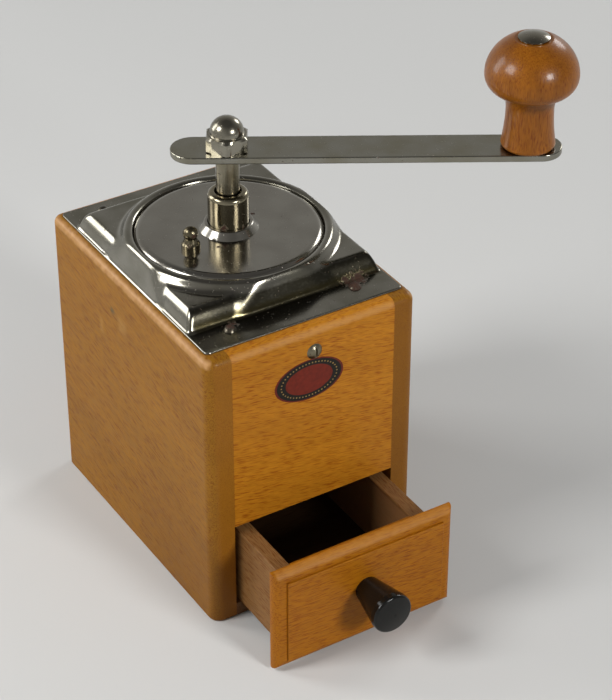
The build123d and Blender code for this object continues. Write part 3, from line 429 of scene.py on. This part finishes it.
# ------------------------------------------------------------ nails and frame screws
# Domed nails hold the plate down at its ends. One slotted screw at each end of the box
# holds the casting. Both are plated, and the nail at the right has rusted.
nail_rust = [((0.030, -0.0518, 0.1362), 0.0044), ((-0.030, -0.0518, 0.1365), 0.0022)]
dress(nickel("nickel-plated nails", "#58544A", "#443E33", 0.26, nail_rust), "plate_nails")
dress(nickel("nickel-plated screws", "#8A8472", "#726A55", 0.24), "frame_screws")


# ------------------------------------------------------------ mill works
# The casting and bridge are plain grey iron, and the toothed ring and cone are hardened
# iron, dark and matt. They stand inside the box, and show through the open hopper.
def iron(name, code, rough, metal):
    """Unplated iron or steel with a finely pebbled skin."""
    material, tree, place = blank_material(name)
    skin = clouds(tree, place, 900.0, 4.0)
    worn = ranged(tree, skin, 0.3, 0.7, 0.7, 1.2)
    look = {
        "Base Color": mixed(tree, 1.0, tone(code), worn, "MULTIPLY"),
        "Metallic": metal,
        "Roughness": rough,
        "Normal": bumped(tree, skin, 0.5, 0.0002),
    }
    cover(tree, look)
    return material


dress(iron("grey cast iron, sand-cast", "#4B4A47", 0.62, 0.7), "mill_casting", "lower_bridge")
dress(iron("hardened iron, milled teeth", "#5B5853", 0.4, 0.9), "burr_ring", "grinding_cone")
dress(
    iron("turned steel", "#96928A", 0.3, 1.0),
    "bridge_bolts",
    "click_spring",
    "adjusting_screw",
    "cone_pin",
    "drawer_knob_screw",
)

# ------------------------------------------------------------ bearing collar and shaft
# Turned steel, polished and plated, darkened where oil and seed dust have gathered.
collar_rust = [((-0.006, -0.0064, 0.1515), 0.0018), ((0.002, -0.0087, 0.1508), 0.0010)]
dress(
    nickel("nickel-plated collar", "#8A8370", "#6C6450", 0.16, collar_rust, 0.25),
    "bearing_collar",
)
dress(nickel("bright turned shaft", "#8A8474", "#6F6853", 0.18, wave=0.15), "crank_shaft")

# ------------------------------------------------------------ lid and its knob
# A pressed disc with a turned-down rim, mirror-bright, with a small turned and riveted
# knob, which is speckled with rust.
lid_rust = [((0.0135, 0.0035, 0.1476), 0.0013), ((-0.012, -0.012, 0.1476), 0.0009)]
dress(nickel("nickel-plated steel, lid", "#928F87", "#86827A", 0.12, lid_rust), "lid")
knob_rust = [((-0.022, -0.0097, 0.1545), 0.0014), ((-0.0235, -0.0085, 0.1500), 0.0016)]
dress(nickel("nickel-plated lid knob", "#6E6754", "#4A4232", 0.22, knob_rust), "lid_knob")

# ------------------------------------------------------------ crank arm and cap nut
# A flat steel bar with its edges eased, and a drop-forged domed nut. Both are polished
# and plated. The nut made here has a fuller dome than the CAD one, and takes its place.
dress(nickel("nickel-plated steel, crank arm", "#8B8980", "#807C6C", 0.16), "crank_arm")
nut_rust = [((0.004, -0.0085, 0.214), 0.0016)]
nut_nickel = nickel("nickel-plated cap nut", "#8C887C", "#6C675A", 0.17, nut_rust, 0.25)
dress(nut_nickel, "cap_nut")
(nut_left, nut_front, nut_foot), (nut_right, nut_back, nut_top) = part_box("cap_nut")
nut_middle = ((nut_left + nut_right) / 2, (nut_front + nut_back) / 2)
nut_turn = math.radians(28)
nut_sides, sixth = 96, math.pi / 3
half_across, hexagon_height, dome_foot, dome_radius = 0.0085, 0.0068, 0.0076, 0.0071
dome_rise = nut_top - nut_foot - dome_foot
dome_steps = (0, 2, 6, 12, 20, 28, 36, 44, 52, 60, 68, 76, 84, 88)
# The turned profile as radius and rise: the foot's chamfer, a stretch past the hexagon's
# corners that leaves them whole, the upper chamfer, the shoulder and the dome.
nut_profile = [(0.0088, 0.0), (0.0099, 0.0006), (0.0099, 0.0058), (0.0083, hexagon_height)]
nut_profile += [(0.0074, hexagon_height), (dome_radius, hexagon_height + 0.0003)]
for a in map(math.radians, dome_steps):
    nut_profile.append((dome_radius * math.cos(a), dome_foot + dome_rise * math.sin(a)))
verts, faces = [], []
for radius, rise in nut_profile:
    for i in range(nut_sides):
        a = 2 * math.pi * i / nut_sides
        reach = half_across / math.cos((a + sixth / 2) % sixth - sixth / 2)
        r = min(radius, reach)
        x, y = r * math.cos(a + nut_turn), r * math.sin(a + nut_turn)
        verts.append((nut_middle[0] + x, nut_middle[1] + y, nut_foot + rise))
for k in range(len(nut_profile) - 1):
    low, high = k * nut_sides, (k + 1) * nut_sides
    for i in range(nut_sides):
        j = (i + 1) % nut_sides
        faces.append((low + i, low + j, high + j, high + i))
faces.append(tuple(range(nut_sides))[::-1])
faces.append(tuple(range(len(verts) - nut_sides, len(verts))))
mesh = bpy.data.meshes.new("domed_nut")
mesh.from_pydata(verts, [], faces)
mesh.shade_smooth()
mesh.set_sharp_from_angle(angle=math.radians(22))
mesh.materials.append(nut_nickel)
domed_nut = add_object("domed_nut", mesh)
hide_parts("cap_nut")
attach(domed_nut, "crank")

# ------------------------------------------------------------ crank knob and spindle
# Turned beech, darkened by the hand, on a riveted steel spindle with a domed head.
# The ring at the top of the knob's neck, under its cap, is painted dark as painted shade.
knob_neck_painted_shade = [((0.1000, -0.0780, 0.2075), (0.1160, -0.0700, 0.2100), 0.0030, "#3E2208", 0.6)]
knob_beech = beech(
    "varnished beech, crank knob", "Z", "#90560F", "#70400A", gloss=0.25, marks=knob_neck_painted_shade
)
dress(knob_beech, "crank_knob")
dress(nickel("nickel-plated spindle", "#8A867C", "#6F695B", 0.16, wave=0.2), "knob_spindle")

# ------------------------------------------------------------ drawer
# A varnished front with a rounded lip and a raised field. The sides, back and bottom
# are bare beech. Inside, the back and bottom are painted near black as painted shade, and
# the sides' inner faces are painted lighter as painted light.
front_marks = [((-0.042, -0.1092, 0.0500), (0.042, -0.1060, 0.0515), 0.0010, "#BE8C50", 0.3)]
front_beech = beech(
    "varnished beech, drawer front",
    "X",
    "#A4660C",
    "#965A08",
    turn=math.radians(-4),
    marks=front_marks,
)
dress(front_beech, "drawer_front")
# The inner faces of the drawer sides get one even, lighter colour as painted light.
well_painted_light = [((-0.0299, -0.0970, 0.0080), (0.0299, 0.0040, 0.0430), 0.0010, "#8A6440", 0.75)]
side_bare = beech(
    "bare beech, drawer sides", "Y", "#866138", "#74512E", gloss=0.02, marks=well_painted_light
)
dress(side_bare, "drawer_left_side", "drawer_right_side")
# The drawer's back and bottom are painted near black-brown as painted shade inside the drawer.
back_and_bottom_painted_shade = beech("bare beech, drawer back and bottom, painted dark as shade", "X", "#3E2A16", "#302010", 0.02)
dress(back_and_bottom_painted_shade, "drawer_back", "drawer_bottom")

# ------------------------------------------------------------ drawer knob
# Moulded phenolic plastic, black and polished, with a slightly domed face.
material, tree, place = blank_material("black phenolic plastic, moulded and polished")
rub = clouds(tree, place, 260.0, 4.0)
look = {
    "Base Color": mixed(tree, rub, tone("#0B0B0A"), tone("#171613")),
    "Roughness": ranged(tree, rub, 0.35, 0.7, 0.12, 0.26),
    "IOR": 1.55,
    "Specular IOR Level": 0.22,
}
cover(tree, look)
dress(material, "drawer_knob")

# ------------------------------------------------------------ label on the front panel
# A transfer of lacquer film: a plain brick-red oval with a black band, and a ring of gilt
# dots on the band. It is thin enough to follow the wood.
label_centre = Vector((-0.0026, -0.0685, 0.1105))
half_width, half_height = 0.0165, 0.0098
film_lift, rim_lift = 0.00005, 0.00001
band_start, band_end = 0.68, 0.94
rings = [0.2, 0.4, 0.6, 0.78, 0.84, 0.88, 0.94, 1.0]
steps = 96
verts, faces = [tuple(label_centre + Vector((0, -film_lift, 0)))], []
for share in rings:
    lift = film_lift if share < 1 else rim_lift
    for i in range(steps):
        a = 2 * math.pi * i / steps
        x = label_centre.x + share * half_width * math.cos(a)
        z = label_centre.z + share * half_height * math.sin(a)
        verts.append((x, label_centre.y - lift, z))
for i in range(steps):
    j = (i + 1) % steps
    faces.append((0, 1 + i, 1 + j))
    for r in range(len(rings) - 1):
        a, b = 1 + r * steps, 1 + (r + 1) * steps
        faces.append((a + i, b + i, b + j, a + j))
mesh = bpy.data.meshes.new("front_label")
mesh.from_pydata(verts, [], faces)
mesh.shade_smooth()
front_label = add_object("front_label", mesh)
material, tree, place = blank_material("lacquer transfer, red and black with gilt")
to_unit_circle = {
    "Vector": place,
    "Location": (-label_centre.x / half_width, 0, -label_centre.z / half_height),
    "Scale": (1 / half_width, 0, 1 / half_height),
}
centred = put(tree, "ShaderNodeMapping", to_unit_circle).outputs[0]
out_from_middle = vector_calc(tree, "LENGTH", centred, result="Value")
label_stops = [(0.0, "#661D0C"), (band_start, "#15120D"), (band_end, "#5E1B0C")]
printed = ramped(tree, out_from_middle, label_stops, "CONSTANT")
faded = ranged(tree, clouds(tree, place, 500.0, 4.0), 0.3, 0.7, 0.8, 1.15)
look = {
    "Base Color": mixed(tree, 1.0, printed, faded, "MULTIPLY"),
    "Roughness": 0.5,
    "Specular IOR Level": 0.2,
    "Coat Weight": 0.08,
}
cover(tree, look)
mesh.materials.append(material)
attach(front_label, "body")

# Gilt is brass powder in lacquer, printed thick enough to stand up a little.
gilt, tree, place = blank_material("gilt lacquer, brass powder")
rub = clouds(tree, place, 600.0, 4.0)
brass = mixed(tree, rub, tone("#5E4B22"), tone("#B8985A"))
cover(tree, {"Base Color": brass, "Metallic": 0.5, "Roughness": 0.5})
dot_share, dot_count, dot_radius, dot_depth = 0.81, 44, 0.00034, 0.00008
dot_lift = 0.00006
tree = bpy.data.node_groups.new("ring of gilt dots", "GeometryNodeTree")
tree.interface.new_socket("Dots", in_out="OUTPUT", socket_type="NodeSocketGeometry")
ring_sizes = {
    "Half width": ("NodeSocketFloat", dot_share * half_width),
    "Half height": ("NodeSocketFloat", dot_share * half_height),
    "Number of dots": ("NodeSocketInt", dot_count),
    "Dot radius": ("NodeSocketFloat", dot_radius),
}
ring_inputs = {
    name: tree.interface.new_socket(name, in_out="INPUT", socket_type=kind).identifier
    for name, (kind, size) in ring_sizes.items()
}
given = put(tree, "NodeGroupInput").outputs
circle = put(tree, "GeometryNodeCurvePrimitiveCircle", {"Resolution": 128, "Radius": 1.0})
widths = put(
    tree, "ShaderNodeCombineXYZ", {0: given["Half width"], 1: given["Half height"], 2: 1.0}
)
oval = put(
    tree, "GeometryNodeTransform", {"Geometry": circle.outputs[0], "Scale": widths.outputs[0]}
)
spaced = put(
    tree,
    "GeometryNodeResampleCurve",
    {"Curve": oval.outputs[0], "Count": given["Number of dots"]},
)
dot = put(
    tree,
    "GeometryNodeMeshCylinder",
    {"Vertices": 10, "Radius": given["Dot radius"], "Depth": dot_depth},
)
dotted = put(
    tree,
    "GeometryNodeInstanceOnPoints",
    {"Points": spaced.outputs[0], "Instance": dot.outputs[0]},
)
upright = put(
    tree,
    "GeometryNodeTransform",
    {
        "Geometry": dotted.outputs[0],
        "Translation": tuple(label_centre + Vector((0, -dot_lift, 0))),
        "Rotation": (math.pi / 2, 0, 0),
    },
)
whole = put(tree, "GeometryNodeRealizeInstances", {"Geometry": upright.outputs[0]})
gilded = put(
    tree, "GeometryNodeSetMaterial", {"Geometry": whole.outputs[0], "Material": gilt}
)
put(tree, "NodeGroupOutput", {"Dots": gilded.outputs[0]})
label_dots = add_object("label_dots", bpy.data.meshes.new("label_dots"))
ring = label_dots.modifiers.new("ring of dots", "NODES")
ring.node_group = tree
for name, (kind, size) in ring_sizes.items():
    ring[ring_inputs[name]] = size
grown = label_dots.evaluated_get(bpy.context.evaluated_depsgraph_get())
mesh = bpy.data.meshes.new_from_object(grown)
label_dots.modifiers.clear()
label_dots.data = mesh
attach(label_dots, "body")


# ------------------------------------------------------------ floor
# A plain pale studio floor. Far out, where the lamps don't reach, it shows the same pale
# grey as the room, so that the background stays even from every side.
def looked_at(tree):
    """1 for what the camera sees, also in a mirror or through glass, else 0."""
    ray = put(tree, "ShaderNodeLightPath").outputs
    seen = calc(tree, "MAXIMUM", ray["Is Camera Ray"], ray["Is Glossy Ray"])
    return calc(tree, "MAXIMUM", seen, ray["Is Transmission Ray"])


floor_reach, fade_start, fade_end = 8, 0.3, 1.6
mesh = bpy.data.meshes.new("studio_floor")
corners = [(-1, -1), (1, -1), (1, 1), (-1, 1)]
mesh.from_pydata([(x * floor_reach, y * floor_reach, 0) for x, y in corners], [], [(0, 1, 2, 3)])
floor = add_object("studio_floor", mesh)
material, tree, place = blank_material("pale matt floor")
paint = put(tree, "ShaderNodeBsdfPrincipled", {"Base Color": tone("#CDCDCB"), "Roughness": 0.9})
far = vector_calc(tree, "LENGTH", place, result="Value")
far = ranged(tree, far, fade_start, fade_end, interpolation_type="SMOOTHSTEP")
far = calc(tree, "MULTIPLY", far, looked_at(tree))
pale = put(tree, "ShaderNodeEmission", {"Color": tone("#D0D0CE"), "Strength": 1.0})
spread = put(tree, "ShaderNodeMixShader", {0: far, 1: paint.outputs[0], 2: pale.outputs[0]})
put(tree, "ShaderNodeOutputMaterial", {"Surface": spread.outputs[0]})
mesh.materials.append(material)

# ------------------------------------------------------------ light
# Four soft boxes around the mill, and a room that is pale at the horizon and greyer
# overhead, which gives the metal its tone. The room lights the wood only dimly.
world = bpy.data.worlds.new("studio room")
bpy.context.scene.world = world
world.use_nodes = True
tree = world.node_tree
tree.nodes.clear()
way = put(tree, "ShaderNodeTexCoord").outputs["Generated"]
up = put(tree, "ShaderNodeSeparateXYZ", {0: way}).outputs[2]
room_stops = [(0.15, "#D2D2D0"), (0.45, "#B6B5B2"), (0.65, "#A8A7A4"), (0.9, "#6A6968")]
room = ramped(tree, up, room_stops)
# The room is darker to the right of the camera and behind it.
dim_way = (0.43, -0.90, 0.0)
dim = vector_calc(tree, "DOT_PRODUCT", way, dim_way, result="Value")
dim = ranged(tree, dim, 0.2, 0.85, 1.0, 0.4)
room = mixed(tree, 1.0, room, dim, "MULTIPLY")
shown = put(tree, "ShaderNodeBackground", {"Color": room, "Strength": 1.0})
ambient = put(tree, "ShaderNodeBackground", {"Color": (1, 1, 1, 1), "Strength": 0.2})
both = put(
    tree,
    "ShaderNodeMixShader",
    {0: looked_at(tree), 1: ambient.outputs[0], 2: shown.outputs[0]},
)
put(tree, "ShaderNodeOutputWorld", {"Surface": both.outputs[0]})


def soft_box(name, place, target, width, height, power):
    """A rectangular lamp that shines at a target. Its power is in watts."""
    lamp = bpy.data.lights.new(name, "AREA")
    lamp.shape = "RECTANGLE"
    lamp.size, lamp.size_y, lamp.energy = width, height, power
    held = bpy.data.objects.new(name, lamp)
    held.location = place
    held.rotation_euler = (Vector(target) - Vector(place)).to_track_quat("-Z", "Y").to_euler()
    bpy.context.scene.collection.objects.link(held)


soft_box("soft_box_front", (0.32, -1.45, 0.78), (0, 0, 0.1), 0.36, 0.32, 15)
soft_box("soft_box_left", (-1.12, 0.16, 0.94), (0, 0, 0.1), 0.5, 0.5, 13)
soft_box("soft_box_back_left", (-0.98, 1.12, 0.66), (0, 0, 0.14), 0.5, 1.0, 11)
soft_box("soft_box_right", (1.30, 0.45, 0.75), (0, 0, 0.1), 0.4, 0.4, 5)

# ------------------------------------------------------------ camera
# It looks down from the front left, as the photographer did.
lens = bpy.data.cameras.new("camera")
lens.sensor_width = 36
lens.lens = 119.62
lens.clip_start = 0.05
camera = bpy.data.objects.new("camera", lens)
right = Vector((0.8505, -0.5260, 0.0)).normalized()
ahead = Vector((0.4340, 0.7014, -0.5655)).normalized()
above = right.cross(ahead).normalized()
turned = Matrix((right, above, -ahead)).transposed().to_4x4()
camera.matrix_world = Matrix.Translation((-0.4129, -0.7293, 0.6584)) @ turned
bpy.context.scene.collection.objects.link(camera)
bpy.context.scene.camera = camera
bpy.context.scene.view_settings.view_transform = "Standard"
